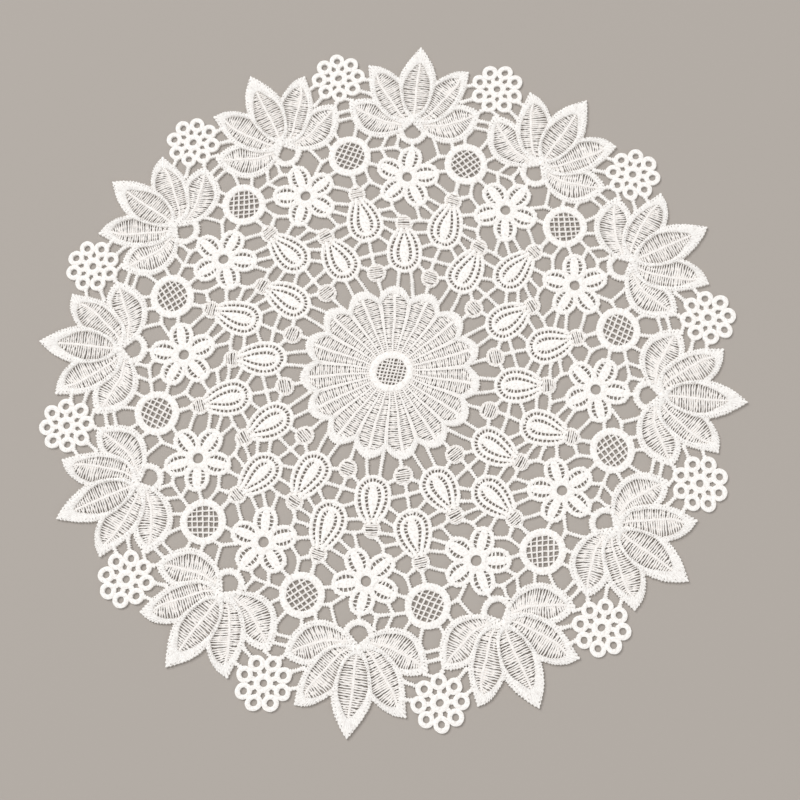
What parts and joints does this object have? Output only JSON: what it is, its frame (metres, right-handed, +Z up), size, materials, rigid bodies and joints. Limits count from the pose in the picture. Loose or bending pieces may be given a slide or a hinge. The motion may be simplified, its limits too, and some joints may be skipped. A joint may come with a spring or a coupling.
{
  "type": "lace doily",
  "caption": "Round openwork lace doily, laid flat: petalled middle, flower and drop motifs joined by bars, lotus edge.",
  "frame": {"origin": "centre of the doily on its underside, at the surface it lies on", "axes": "+Z up out of the surface, along the doily's thickness; +Y out through the tip of one lotus; +X to the right"},
  "size_m": [0.3008, 0.3008, 0.0018],
  "materials": {
    "white_thread": "matte white cotton satin stitch, fine thread ribs"
  },
  "bodies": {
    "root": {"lace_doily": "white_thread"}
  },
  "joints": []
}
